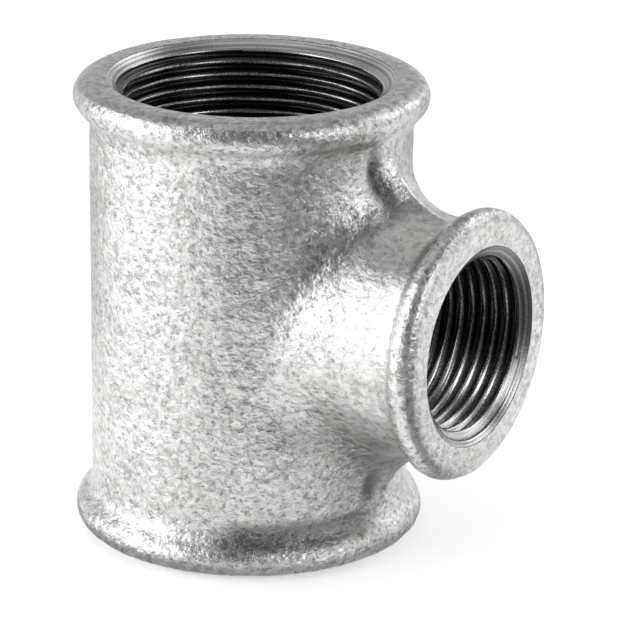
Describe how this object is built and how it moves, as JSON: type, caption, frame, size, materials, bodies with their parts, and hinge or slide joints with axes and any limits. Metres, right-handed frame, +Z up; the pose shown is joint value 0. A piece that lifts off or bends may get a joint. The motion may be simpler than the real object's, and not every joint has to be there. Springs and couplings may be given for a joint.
{
  "type": "reducing tee",
  "caption": "Malleable-iron reducing tee with beaded ends: a straight threaded run with a smaller threaded branch at right angles.",
  "frame": {"origin": "on the run's axis, in the plane of its lower end face", "axes": "+Z up along the run, +X out along the branch"},
  "size_m": [0.0787, 0.0624, 0.082],
  "materials": {
    "zinc_coated_iron": "hot-dip galvanised, rough cast skin, cut threads bare and dark"
  },
  "bodies": {
    "root": {"tee_body": "zinc_coated_iron"}
  },
  "joints": []
}
